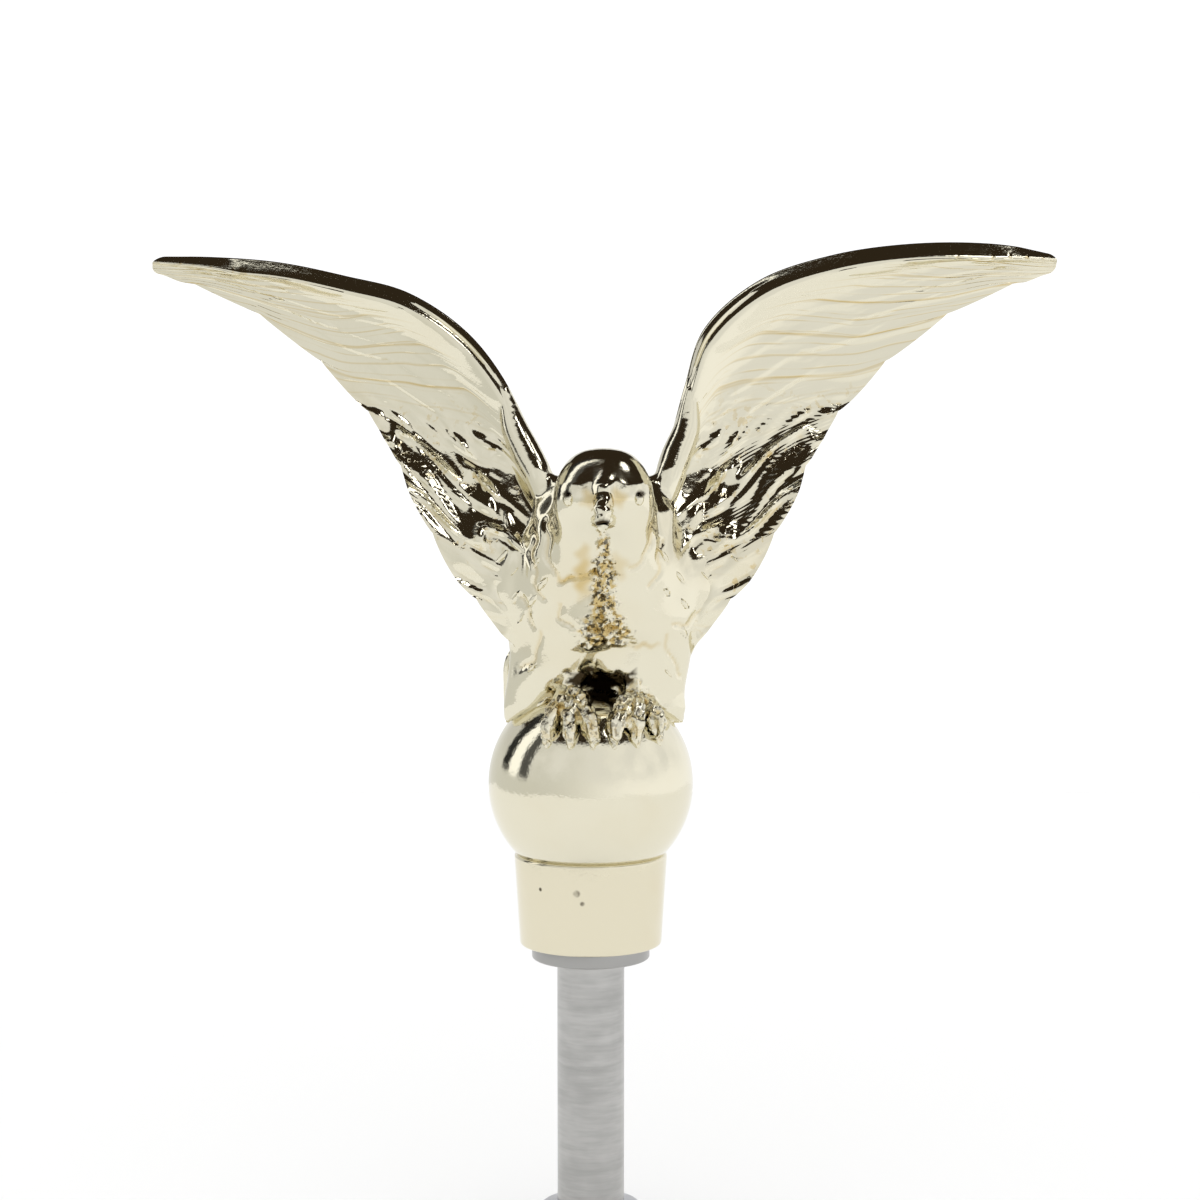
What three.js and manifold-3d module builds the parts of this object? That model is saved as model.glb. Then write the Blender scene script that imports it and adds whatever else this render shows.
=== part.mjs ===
import * as THREE from 'three';
import { mergeVertices } from 'three/addons/utils/BufferGeometryUtils.js';
import Module from 'manifold-3d';

// Eagle finial: a gilt casting of an eagle on a ball and ferrule, on a turned spindle with a foot collar.
// Millimetres, +Z up, the bird faces -Y. The origin is the middle of the foot collar's underside.

// Foot collar, turned disc
const collarRadius = 9.6;
const collarHeight = 6.4;
const collarEdge = 0.6;

// Spindle, a turned rod with a flange under the ferrule
const rodRadius = 6.35;
const rodLength = 47.9;
const flangeRadius = 11.15;
const flangeThickness = 2.8;
const flangeEdge = 0.45;

// Ferrule and ball of the casting
const ferruleFootRadius = 13.4;
const ferruleTopRadius = 14.4;
const ferruleHeight = 17.2;
const ferruleEdge = 0.35;
const ballRadius = 19.3;
const neckRadius = 13.9;

// Eagle: its free forms are given in hundredths of its height above the ball
const birdHeight = 81.3;
const birdOffset = 2.4;
const rimFront = 3.2;
const rimBack = 1.7;
const rimWidth = 3.9;
const bladeHalf = 0.9;
const trailHalf = 0.55;
const wingHollow = 0.5;
const wingLean = 10;
const tipReach = 2.6;
const quillSlant = 0.46;
const quillWidth = 0.12;
const quillStep = 0.75;
const covertStep = 0.7;
const tipRound = 1.1;
const toeSpread = 5.1;
const footSpread = 7.5;
const turnedSides = 36;
const castGrain = 0.03;

// Levels up the axis, from the collar's underside
const rodFoot = collarHeight;
const flangeFoot = rodFoot + rodLength;
const ferruleFoot = flangeFoot + flangeThickness;
const ferruleTop = ferruleFoot + ferruleHeight;
const ballSink = Math.sqrt(ballRadius ** 2 - neckRadius ** 2);
const ballCentre = ferruleTop + ballSink;
const ballTop = ballCentre + ballRadius;
const unit = birdHeight / 100;
const ballShare = ballRadius / unit;

const wasm = await Module();
wasm.setup();

const gilt = new THREE.MeshStandardMaterial({ color: 0xdccb98, roughness: 0.12, metalness: 1 });
const turnedAluminium = new THREE.MeshStandardMaterial({ color: 0xb9b9b7, roughness: 0.42, metalness: 1 });
const collarAluminium = new THREE.MeshStandardMaterial({ color: 0xd3d6da, roughness: 0.5, metalness: 1 });

const clamp = (value, low, high) => Math.min(high, Math.max(low, value));
const mix = (a, b, share) => a + (b - a) * share;
const smooth = (from, to, value) => {
  const x = clamp((value - from) / (to - from), 0, 1);
  return x * x * (3 - 2 * x);
};

// A place on the bird: right, back and up in hundredths of its height, from the ball's top
const place = (x, y, z) => new THREE.Vector3(birdOffset + x * unit, y * unit, ballTop + z * unit);

// Solid of a closed triangle list; corners that fall together are merged and empty faces dropped
function solidOf(points, faces) {
  const seen = new Map();
  const vertProperties = [];
  const index = points.map((point) => {
    const key = [point.x, point.y, point.z].map((value) => Math.round(value * 2000)).join(' ');
    if (!seen.has(key)) {
      seen.set(key, vertProperties.length / 3);
      vertProperties.push(point.x, point.y, point.z);
    }
    return seen.get(key);
  });
  const triVerts = faces
    .map((face) => face.map((corner) => index[corner]))
    .filter(([a, b, c]) => a !== b && b !== c && c !== a)
    .flat();
  return new wasm.Manifold(new wasm.Mesh({
    numProp: 3,
    vertProperties: new Float32Array(vertProperties),
    triVerts: new Uint32Array(triVerts),
  }));
}

// Solid of a three.js geometry
function solidOfGeometry(geometry) {
  const bare = geometry.clone();
  bare.deleteAttribute('normal');
  bare.deleteAttribute('uv');
  const merged = mergeVertices(bare, 1e-4);
  return new wasm.Manifold(new wasm.Mesh({
    numProp: 3,
    vertProperties: new Float32Array(merged.attributes.position.array),
    triVerts: new Uint32Array(merged.index.array),
  }));
}

// Skin over rings of equal count, each seen anticlockwise from the end that the rings climb to
function loft(rings) {
  const count = rings[0].length;
  const points = rings.flat();
  const faces = [];
  for (let row = 0; row < rings.length - 1; row += 1) {
    for (let column = 0; column < count; column += 1) {
      const next = (column + 1) % count;
      const a = row * count + column;
      const b = row * count + next;
      faces.push([a, b, b + count], [a, b + count, a + count]);
    }
  }
  const last = (rings.length - 1) * count;
  const foot = points.push(centreOf(rings[0])) - 1;
  const crown = points.push(centreOf(rings.at(-1))) - 1;
  for (let column = 0; column < count; column += 1) {
    const next = (column + 1) % count;
    faces.push([foot, next, column], [crown, last + column, last + next]);
  }
  return solidOf(points, faces);
}

function centreOf(ring) {
  const sum = new THREE.Vector3();
  ring.forEach((point) => sum.add(point));
  return sum.divideScalar(ring.length);
}

// Level ring of the bird, with its own depth in front and behind; its swell and fall may change round it
function levelRing({ z, x = 0, y, wide, front, back, sides = 24, swell = () => 1, fall = () => 0 }) {
  return Array.from({ length: sides }, (_, i) => {
    const angle = (2 * Math.PI * i) / sides;
    const grown = swell(angle, i);
    const depth = Math.sin(angle) < 0 ? front : back;
    const across = x + wide * Math.cos(angle) * grown;
    return place(across, y + depth * Math.sin(angle) * grown, z - fall(angle, i));
  });
}

// Share by which every other corner of a ring stands out, so that feathers lie side by side
const ridged = (ridges) => (angle, i) => 1 + (i % 2 === 0 ? ridges : -ridges);

// Tube along points of the bird with a radius at each, round a chosen upright
function limb(path, radii, sides, flat = 1) {
  const upright = new THREE.Vector3(0, 0, 1);
  return loft(path.map((point, i) => {
    const ahead = path[Math.min(i + 1, path.length - 1)];
    const behind = path[Math.max(i - 1, 0)];
    const along = ahead.clone().sub(behind).normalize();
    const across = new THREE.Vector3().crossVectors(upright, along);
    if (across.lengthSq() < 1e-4) across.set(1, 0, 0);
    across.normalize();
    const over = new THREE.Vector3().crossVectors(along, across);
    return Array.from({ length: sides }, (_, k) => {
      const angle = (2 * Math.PI * k) / sides;
      return point.clone()
        .addScaledVector(across, radii[i] * unit * Math.cos(angle))
        .addScaledVector(over, radii[i] * unit * flat * Math.sin(angle));
    });
  }));
}

// Ellipsoid of the bird, turned about the sideways axis by pitch
function egg([x, y, z], [wide, deep, high], pitch = 0, across = 16, rows = 10) {
  const ball = new THREE.SphereGeometry(1, across, rows);
  ball.rotateX(Math.PI / 2);
  ball.scale(wide * unit, deep * unit, high * unit);
  ball.rotateX(pitch);
  const centre = place(x, y, z);
  ball.translate(centre.x, centre.y, centre.z);
  return solidOfGeometry(ball);
}

// Torso, neck and hood, with the groove down the middle of the breast
const grooveDepth = 0.07;
const grooveWidth = 0.2;

function torso() {
  const rings = [
    { z: 7.5, y: -4, wide: 5, front: 6, back: 5 },
    { z: 9, y: -4, wide: 8.4, front: 10, back: 9 },
    { z: 13, y: -3.6, wide: 10.4, front: 13, back: 11 },
    { z: 19, y: -3.5, wide: 11, front: 14.3, back: 12 },
    { z: 27, y: -4.5, wide: 11.8, front: 14.8, back: 12.5 },
    { z: 33, y: -6.4, wide: 11.7, front: 15.2, back: 13 },
    { z: 38, y: -9.5, wide: 11.5, front: 15.6, back: 13 },
    { z: 42.5, y: -12, wide: 11.3, front: 15.4, back: 12.4 },
    { z: 46.5, y: -14, wide: 10.6, front: 13.2, back: 11.6 },
    { z: 50, y: -15, wide: 9.2, front: 10.6, back: 10 },
    { z: 52.6, y: -15.6, wide: 6.8, front: 7.6, back: 7.6 },
    { z: 54, y: -16, wide: 3.6, front: 4, back: 4 },
  ];
  const groove = (z) => (angle) => {
    const away = (angle - 1.5 * Math.PI) / grooveWidth;
    return 1 - grooveDepth * Math.exp(-(away ** 2)) * smooth(36, 31, z);
  };
  return loft(rings.map((ring) => levelRing({ ...ring, swell: groove(ring.z) })));
}

// Cloak of flank and thigh feathers: its hem climbs from the outer sides to the middle of the belly
const hem = { low: -9, rise: 14, top: 22, bend: 1.2, squeeze: 0.1 };

function cloak() {
  const rings = [
    { z: -9, x: -2.1, y: 1, wide: 20.6, front: 12.5, back: 6, ridges: 0.014 },
    { z: -4, x: -2.2, y: 1.2, wide: 20.8, front: 14, back: 8, ridges: 0.014 },
    { z: 2, x: -1.6, y: 1.6, wide: 20.6, front: 15.5, back: 10, ridges: 0.014 },
    { z: 9, x: -0.4, y: 2, wide: 21.5, front: 16.5, back: 11, ridges: 0.014 },
    { z: 17, y: 2.4, wide: 24, front: 17.5, back: 11, ridges: 0.01 },
    { z: 24, y: 3, wide: 26, front: 17, back: 10, ridges: 0 },
    { z: 30, y: 3, wide: 25, front: 15, back: 9, ridges: 0 },
    { z: 36, y: 2.6, wide: 20, front: 11, back: 8, ridges: 0 },
    { z: 41, y: 1.6, wide: 14, front: 8, back: 7, ridges: 0 },
    { z: 46, y: 1, wide: 9, front: 6, back: 6, ridges: 0 },
  ];
  const climb = (z) => (angle) => {
    const inFront = Math.sin(angle) < 0 ? 1 : 0;
    const low = hem.low + hem.rise * (1 - Math.abs(Math.cos(angle)) ** hem.bend) * inFront;
    const level = Math.min(z, hem.top);
    return level - hem.top + ((hem.top - level) * (hem.top - low)) / (hem.top - hem.low);
  };
  return loft(rings.map(({ ridges, ...ring }) => levelRing({
    ...ring,
    sides: 28,
    swell: (angle, i) => ridged(ridges)(angle, i) - hem.squeeze * Math.sin(2 * angle) ** 2,
    fall: climb(ring.z),
  })));
}

// Shoulders that carry the wings' roots on both sides of the hood
function shoulders() {
  const rings = [
    { z: 24, y: -1.4, wide: 13.6, front: 10, back: 8 },
    { z: 33, y: -1.8, wide: 15.2, front: 10, back: 8 },
    { z: 40, y: -2.6, wide: 15.8, front: 9.4, back: 8 },
    { z: 44, y: -2.8, wide: 15.4, front: 8.8, back: 8 },
    { z: 46.5, y: -2.4, wide: 14.2, front: 7, back: 7 },
    { z: 47.6, y: -2, wide: 9, front: 4, back: 5 },
  ];
  return loft(rings.map((ring) => levelRing({ ...ring, sides: 20 })));
}

// Rolled front edge of a wing, run down over the shoulder
function rimRoot(side) {
  const path = [
    place(side * 19, 3.4, 59), place(side * 15.9, -0.2, 51),
    place(side * 13.8, -3.6, 45.4), place(side * 12.8, -6, 38),
  ];
  return limb(path, [1.2, 2.2, 2.5, 1.4], 8);
}

// Skull inside the hood, brows over small eyes, and a short hooked beak
function head() {
  const skull = egg([0, -15.5, 43.6], [10.6, 11.6, 10.6], 0.15, 16, 10);
  const browed = [-1, 1].reduce((form, side) => {
    const brow = [
      place(side * 3.2, -25.9, 45.2),
      place(side * 6.3, -23.7, 46),
      place(side * 9.2, -18.4, 45),
    ];
    const eye = egg([side * 6.1, -23.9, 43.4], [1.3, 1.3, 1.2], 0, 8, 6);
    return form.add(limb(brow, [0.9, 1.3, 0.9], 6)).add(eye);
  }, skull);
  const bridge = [
    place(0, -20.5, 50.6), place(0, -24.8, 47), place(0, -27.4, 43.6), place(0, -28.6, 40.5),
  ];
  const ridge = [
    place(0, -25.6, 45.4), place(0, -28.6, 42.8), place(0, -30.8, 40.4),
    place(0, -31.9, 38.2), place(0, -31.4, 36),
  ];
  const jaw = [place(0, -23, 38.6), place(0, -27.8, 37.8), place(0, -30.2, 37)];
  return browed
    .add(limb(bridge, [1.8, 2.4, 2.6, 1.6], 8))
    .add(limb(ridge, [1.6, 2.2, 1.9, 1.3, 0.4], 8, 0.95))
    .add(limb(jaw, [3.2, 2.3, 0.9], 8, 0.7));
}

// Wing outlines at even steps from the shoulder to the tip, for the right hand wing of the bird as seen
const rightRim = [
  [8.3, -3.7, 41.6], [14.5, 3, 53.5], [18.6, 5.5, 67.5], [23.2, 8.2, 81], [36, 11, 92.4],
  [53, 12.5, 98.4], [72, 13.8, 101.2], [91, 15.2, 101.3], [106.4, 16.6, 99.2],
];
const leftRim = [
  [8.8, -3.7, 41.6], [16, 3, 53.5], [21.8, 5.5, 67.5], [31.5, 8.5, 80.3], [45.5, 11, 89.7],
  [60, 12.4, 93.6], [76, 14, 96.9], [91.5, 15.4, 98.2], [105.4, 16.6, 98.4],
];
const trail = [
  [17.4, 2.8, 1], [22.6, 3.3, 11.5], [33.5, 5.2, 24.8], [43, 7.2, 41.5], [50.5, 9.2, 56],
  [60.2, 11, 67.8], [74, 12.7, 80.2], [91, 14.8, 90.1], [106.4, 16.6, 94.2],
];
const curveOf = (points) => new THREE.CatmullRomCurve3(points.map((point) => new THREE.Vector3(...point)));

// Quills lie slantwise: each keeps its own line while it runs from the rim to the trailing edge
const firstQuill = -0.5;
const quillCount = 12;
const quillLines = [0.04, 0.5, 0.96];
const covertRows = [0.3, 0.56];
const covertRound = 0.05;
const rowGap = 0.01;

// Rows over the rim as shares of its width and of its two depths, then rows over the feathers
const rimRows = [[0, 0, 0], [0.12, 0.17, 0.45], [0.5, 0.59, 0.9], [1, 1, 0.95], [1.3, 0.36, 0.62]];
const rimShareAtTip = 0.28;
const frontRows = [
  0.15, covertRows[0] - rowGap, covertRows[0] + rowGap, 0.43,
  covertRows[1] - rowGap, covertRows[1] + rowGap, 0.78, 1,
];
const backRows = [0.25, 0.6, 1];

// Height of the front feathers over the blade, where line counts quills and share runs from rim to edge
function featherHeight(line, share, span) {
  const side = line - Math.floor(line);
  const quill = quillStep * (0.9 - side) * smooth(0, 0.22, share);
  const coverts = covertRows.reduce((sum, row) => sum + (share < row ? covertStep : 0), 0);
  return (quill * rootFade(span) + coverts * smooth(0, 0.08, share)) * tipFade(span);
}

// Relief dies out where the quills run together, in the shoulder and at the wing's tip
const rootFade = (span) => smooth(0, 0.04, span);
const tipFade = (span) => smooth(1, 0.84, span);

// The inner quills, between these lines, lean forward over the breast, while the root stays sunk in it
const leanLines = [5.4, 2.6];
const sunkSpan = 0.1;

// Middle skin of a wing: span runs from the shoulder to the tip, part from the rim to the trailing edge
function wingForm(side) {
  const rim = curveOf(side > 0 ? rightRim : leftRim);
  const edge = curveOf(trail);
  const blade = (span, part, lift) => {
    const a = rim.getPoint(clamp(span, 0, 1));
    const b = edge.getPoint(clamp(span, 0, 1));
    const line = (span - quillSlant * part - firstQuill) / quillWidth;
    const hollow = wingHollow * 4 * part * (1 - part) * smooth(1.05, 0.6, span);
    const lean = wingLean * smooth(...leanLines, line) * smooth(0, 0.35, part) * smooth(0, sunkSpan, span);
    const middle = a.clone().lerp(b, part);
    const round = Math.sqrt(Math.max(0, 1 - (2 * part - 1) ** 2)) - 1;
    const reach = tipReach * round * smooth(0.93, 1, span);
    return place(side * (middle.x + reach), middle.y + hollow - lean - lift, middle.z);
  };
  const chord = (span) => rim.getPoint(span).distanceTo(edge.getPoint(span));
  return { rim, edge, blade, chord };
}

// One wing, a dished blade with a rounded rim, overlapping quills and two rows of coverts
function wing(side) {
  const { rim, edge, blade, chord } = wingForm(side);
  const lines = [];
  for (let quill = 0; quill < quillCount; quill += 1) {
    quillLines.forEach((line) => lines.push(quill + line));
  }
  lines.push(quillCount + 0.8);

  // A row on the rim, measured from its edge
  const rimShare = (span, row) => rimRows[row][0] * Math.min(rimWidth / chord(span), rimShareAtTip);
  const rimPoint = (line, row, front) => {
    const span = clamp(firstQuill + line * quillWidth, 0, 1);
    const [, ahead, behind] = rimRows[row];
    const full = smooth(1.12, 0.8, span);
    return blade(span, rimShare(span, row), front ? ahead * rimFront * full : -behind * rimBack * full);
  };

  // A row on the feathers, with its coverts rounded and its quill ends standing past the edge
  const featherPoint = (line, share, front) => {
    const round = Math.sin(Math.PI * (line - Math.floor(line)));
    const rimSpan = clamp(firstQuill + line * quillWidth, 0, 1);
    const part = mix(rimShare(rimSpan, rimRows.length - 1), 1, share);
    const span = clamp(firstQuill + line * quillWidth + quillSlant * part, 0, 1);
    const onStep = covertRows.some((level) => Math.abs(share - level) < 2 * rowGap);
    const across = part + (onStep ? covertRound * round * rootFade(span) * tipFade(span) : 0);
    const thick = mix(bladeHalf, trailHalf, part);
    const point = blade(span, across, front ? thick + featherHeight(line, share, span) : -thick);
    if (share < 1) return point;
    const out = edge.getPoint(span).sub(rim.getPoint(span)).normalize();
    const reach = tipRound * (round - 0.35) * smooth(1, 0.9, span) * smooth(0, 0.1, span);
    return point.add(new THREE.Vector3(side * out.x, out.y, out.z).multiplyScalar(reach * unit));
  };
  const rowPoint = (line, row, front) => {
    if (row < rimRows.length) return rimPoint(line, row, front);
    return featherPoint(line, (front ? frontRows : backRows)[row - rimRows.length], front);
  };

  const frontCount = rimRows.length + frontRows.length;
  const backCount = rimRows.length + backRows.length;
  const points = [];
  const frontAt = lines.map((line) => Array.from({ length: frontCount }, (_, row) =>
    points.push(rowPoint(line, row, true)) - 1));
  const backAt = lines.map((line) => Array.from({ length: backCount }, (_, row) =>
    points.push(rowPoint(line, row, false)) - 1));
  const faces = [];
  const quad = (a, b, c, d) => faces.push([a, b, c], [a, c, d]);
  for (let column = 0; column < lines.length - 1; column += 1) {
    for (let row = 0; row < frontCount - 1; row += 1) {
      quad(frontAt[column][row], frontAt[column][row + 1],
        frontAt[column + 1][row + 1], frontAt[column + 1][row]);
    }
    for (let row = 0; row < backCount - 1; row += 1) {
      quad(backAt[column][row], backAt[column + 1][row],
        backAt[column + 1][row + 1], backAt[column][row + 1]);
    }
    quad(frontAt[column].at(-1), backAt[column].at(-1),
      backAt[column + 1].at(-1), frontAt[column + 1].at(-1));
  }
  const cap = (column, inward) => {
    const loop = [...frontAt[column], ...backAt[column].slice(1).reverse()];
    const middle = points.push(centreOf(loop.map((i) => points[i]))) - 1;
    loop.forEach((corner, i) => {
      const next = loop[(i + 1) % loop.length];
      faces.push(inward ? [middle, next, corner] : [middle, corner, next]);
    });
  };
  cap(0, true);
  cap(lines.length - 1, false);
  const turned = side > 0 ? faces : faces.map(([a, b, c]) => [a, c, b]);
  return solidOf(points, turned);
}

// Scale feathers in high relief on the inner wing, each lying along the quills
const scaleRows = [
  { part: 0.2, spans: [0.1, 0.17, 0.24, 0.31], long: 5, wide: 2.6 },
  { part: 0.4, spans: [0.12, 0.18, 0.24, 0.3], long: 5.5, wide: 2.8 },
  { part: 0.62, spans: [0.13, 0.19, 0.25], long: 5.5, wide: 2.8 },
];

const scaleLift = 0.6;
const scaleThick = 1.1;
const scaleReach = 0.15;

function scales(side) {
  const { blade } = wingForm(side);
  return scaleRows.flatMap(({ part, spans, long, wide }) => spans.map((span) => {
    const centre = blade(span, part, bladeHalf + scaleLift);
    const along = blade(span + quillSlant * scaleReach, part + scaleReach, bladeHalf)
      .sub(blade(span, part, bladeHalf));
    along.normalize();
    const across = new THREE.Vector3(0, -1, 0).cross(along).normalize();
    const out = along.clone().cross(across);
    const feather = new THREE.SphereGeometry(1, 6, 4);
    feather.rotateX(Math.PI / 2);
    feather.scale(wide * unit, scaleThick * unit, long * unit);
    feather.applyMatrix4(new THREE.Matrix4().makeBasis(across, out, along).setPosition(centre));
    return solidOfGeometry(feather);
  }));
}

// Flank and tail feathers, a skirt from the rump that lies on the ball's back and sides
function rump() {
  const rings = [
    { z: -9, x: -2.1, y: 2, wide: 20.6, front: 3, back: 22.8, ridges: 0.022, low: 9, tips: 1.1 },
    { z: -2, x: -2.3, y: 1.5, wide: 20.6, front: 4.5, back: 18.5, ridges: 0.022, low: 4, tips: 0 },
    { z: 5, x: -2, y: 1, wide: 20.4, front: 4.5, back: 15, ridges: 0.018, low: 1, tips: 0 },
    { z: 12, x: -0.6, y: 0.5, wide: 17, front: 4.5, back: 12, ridges: 0.01, low: 0, tips: 0 },
    { z: 20, x: 0, y: 0, wide: 9.5, front: 4, back: 10, ridges: 0, low: 0, tips: 0 },
  ];
  return loft(rings.map(({ low, tips, ridges, ...ring }) => levelRing({
    ...ring,
    sides: 32,
    swell: ridged(ridges),
    fall: (angle, i) => low * Math.max(0, Math.sin(angle)) ** 2 + (i % 2 === 0 ? tips : -tips),
  })));
}

// Leg from the belly down to the ankle
function leg(side) {
  const path = [place(side * 7.6, -5, 11), place(side * 7, -8.4, 5), place(side * 6.7, -10, -2)];
  return limb(path, [4.2, 3, 2.3], 10);
}

// Body between and behind the legs, low on the ball
function perch() {
  return egg([0, 5, -6], [8, 10, 10], 0, 12, 8);
}

// A point over the ball, at a distance right of the bird's middle and a height above the ball's centre
function overBall(x, high, lift) {
  const reach = ballShare + lift;
  const aside = x + birdOffset / unit;
  const scaled = high * (reach / ballShare);
  return place(x, -Math.sqrt(Math.max(0, reach ** 2 - aside ** 2 - scaled ** 2)), scaled - ballShare);
}

// Three front toes with their talons, and a hind toe
function foot(side) {
  const ankle = side * footSpread;
  const toes = [-1, 0, 1].map((toe) => {
    const tip = ankle + toe * toeSpread;
    const path = [
      overBall(mix(ankle, tip, 0.1), ballShare * 0.93, 1.2),
      overBall(mix(ankle, tip, 0.5), ballShare * 0.79, 1.9),
      overBall(mix(ankle, tip, 0.85), ballShare * 0.65, 1.9),
      overBall(tip, ballShare * 0.55, 1.2),
      overBall(tip, ballShare * 0.45, -0.3),
    ];
    return limb(path, [1.5, 1.6, 1.7, 1.1, 0.35], 6);
  });
  const hind = [
    place(ankle, -10, -1.5), place(ankle, -6, -0.2), place(ankle, -2.5, -0.2), place(ankle, 0, -1.5),
  ];
  return [...toes, limb(hind, [1.8, 2, 1.5, 0.4], 6)];
}

// Profile of a turned piece, from pairs of radius and height, closed on the axis
function turned(profile) {
  const points = profile.map(([radius, height]) => new THREE.Vector2(radius, height));
  return new THREE.LatheGeometry(points, turnedSides).rotateX(Math.PI / 2);
}

// Ball on its tapered ferrule
function ballAndFerrule() {
  const profile = [
    [0, ferruleFoot],
    [ferruleFootRadius - ferruleEdge, ferruleFoot],
    [ferruleFootRadius, ferruleFoot + ferruleEdge],
    [ferruleTopRadius, ferruleTop - ferruleEdge],
    [neckRadius, ferruleTop],
  ];
  const start = -Math.acos(neckRadius / ballRadius);
  const steps = 14;
  for (let step = 1; step < steps; step += 1) {
    const angle = mix(start, Math.PI / 2, step / steps);
    profile.push([ballRadius * Math.cos(angle), ballCentre + ballRadius * Math.sin(angle)]);
  }
  profile.push([0, ballTop]);
  return solidOfGeometry(turned(profile));
}

// Rod with the flange that carries the ferrule
function spindle() {
  return turned([
    [0, rodFoot],
    [rodRadius, rodFoot],
    [rodRadius, flangeFoot],
    [flangeRadius - flangeEdge, flangeFoot],
    [flangeRadius, flangeFoot + flangeEdge],
    [flangeRadius, ferruleFoot],
    [0, ferruleFoot],
  ]);
}

function footCollar() {
  return turned([
    [0, 0],
    [collarRadius - collarEdge, 0],
    [collarRadius, collarEdge],
    [collarRadius, collarHeight - collarEdge],
    [collarRadius - collarEdge, collarHeight],
    [0, collarHeight],
  ]);
}

const forms = [
  ballAndFerrule(), torso(), head(), cloak(), shoulders(), perch(), rump(),
  ...[1, -1].flatMap((side) => [rimRoot(side), wing(side), ...scales(side), leg(side), ...foot(side)]),
];
const eagleSolid = forms.reduce((whole, form) => whole.add(form)).simplify(castGrain);

function meshOf(name, geometry, material) {
  const mesh = new THREE.Mesh(geometry, material);
  mesh.name = name;
  return mesh;
}

function geometryOf(solid) {
  const { vertProperties, triVerts } = solid.getMesh();
  const geometry = new THREE.BufferGeometry();
  geometry.setAttribute('position', new THREE.BufferAttribute(vertProperties, 3));
  geometry.setIndex(new THREE.BufferAttribute(triVerts, 1));
  return geometry;
}

const finial = new THREE.Group();
finial.add(
  meshOf('eagle', geometryOf(eagleSolid), gilt),
  meshOf('spindle', spindle(), turnedAluminium),
  meshOf('foot_collar', footCollar(), collarAluminium),
);

export default finial;
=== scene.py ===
import math
import bpy
import numpy as np
from mathutils.kdtree import KDTree
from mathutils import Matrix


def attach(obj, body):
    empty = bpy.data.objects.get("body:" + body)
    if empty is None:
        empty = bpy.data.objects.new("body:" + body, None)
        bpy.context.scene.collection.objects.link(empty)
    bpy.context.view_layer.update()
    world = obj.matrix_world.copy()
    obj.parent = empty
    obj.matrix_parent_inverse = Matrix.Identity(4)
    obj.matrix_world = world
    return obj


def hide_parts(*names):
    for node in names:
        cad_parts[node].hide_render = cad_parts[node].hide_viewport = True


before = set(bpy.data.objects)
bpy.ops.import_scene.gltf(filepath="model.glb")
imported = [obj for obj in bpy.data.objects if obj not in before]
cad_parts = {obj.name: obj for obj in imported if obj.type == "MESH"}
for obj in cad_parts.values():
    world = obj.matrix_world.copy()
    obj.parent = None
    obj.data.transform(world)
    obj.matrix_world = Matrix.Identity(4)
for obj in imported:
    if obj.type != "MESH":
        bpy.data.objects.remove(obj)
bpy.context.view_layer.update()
mm = 0.001  # the sizes below are millimetres, as in the part's source
quarter = math.pi / 2


def clamp(value, low, high):
    return np.minimum(high, np.maximum(low, value))


def mixed(a, b, share):
    return a + (b - a) * share


def smooth(start, end, value):
    x = clamp((np.asarray(value, float) - start) / (end - start), 0, 1)
    return x * x * (3 - 2 * x)


def curveAt(points, share):  # centripetal spline through the points, at shares of their count
    points = np.asarray(points, float)
    share = clamp(np.asarray(share, float), 0, 1) * (len(points) - 1)
    index = np.minimum(share.astype(int), len(points) - 2)
    weight = (share - index)[..., None]
    padded = np.vstack([2 * points[0] - points[1], points, 2 * points[-1] - points[-2]])
    p0, p1, p2, p3 = (padded[index + k] for k in range(4))
    gap = [np.maximum(np.sqrt(np.linalg.norm(b - a, axis=-1)), 1e-4)[..., None]
           for a, b in ((p0, p1), (p1, p2), (p2, p3))]
    t1 = ((p1 - p0) / gap[0] - (p2 - p0) / (gap[0] + gap[1]) + (p2 - p1) / gap[1]) * gap[1]
    t2 = ((p2 - p1) / gap[1] - (p3 - p1) / (gap[1] + gap[2]) + (p3 - p2) / gap[2]) * gap[1]
    w = weight
    return (p1 + t1 * w + (-3 * p1 + 3 * p2 - 2 * t1 - t2) * w ** 2
            + (2 * p1 - 2 * p2 + t1 + t2) * w ** 3)


def meshObject(name, points, faces):
    mesh = bpy.data.meshes.new(name)
    mesh.from_pydata([tuple(p) for p in np.asarray(points) * mm], [], faces)
    mesh.validate()
    thing = bpy.data.objects.new(name, mesh)
    bpy.context.scene.collection.objects.link(thing)
    return thing


def discard(thing):
    mesh = thing.data
    bpy.data.objects.remove(thing)
    bpy.data.meshes.remove(mesh)


def bake(thing):  # the modifiers' result becomes the mesh
    graph = bpy.context.evaluated_depsgraph_get()
    mesh = bpy.data.meshes.new_from_object(thing.evaluated_get(graph))
    old = thing.data
    thing.modifiers.clear()
    thing.data = mesh
    bpy.data.meshes.remove(old)
    return thing


def joined(base, others):  # one closed skin round the base and the others
    for other in others:
        cut = base.modifiers.new("join", "BOOLEAN")
        cut.operation = "UNION"
        cut.solver = "MANIFOLD"
        cut.object = other
        bake(base)
        discard(other)
    return base


def softened(things, voxel, rounds, name):  # the things run together like wax, then smoothed
    points, faces = [], []
    for thing in things:
        start = len(points)
        points += [tuple(v.co / mm) for v in thing.data.vertices]
        faces += [[start + i for i in p.vertices] for p in thing.data.polygons]
        discard(thing)
    group = meshObject(name, points, faces)
    remesh = group.modifiers.new("run together", "REMESH")
    remesh.mode = "VOXEL"
    remesh.voxel_size = voxel * mm
    bake(group)
    relax(group, rounds)
    return group


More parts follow.
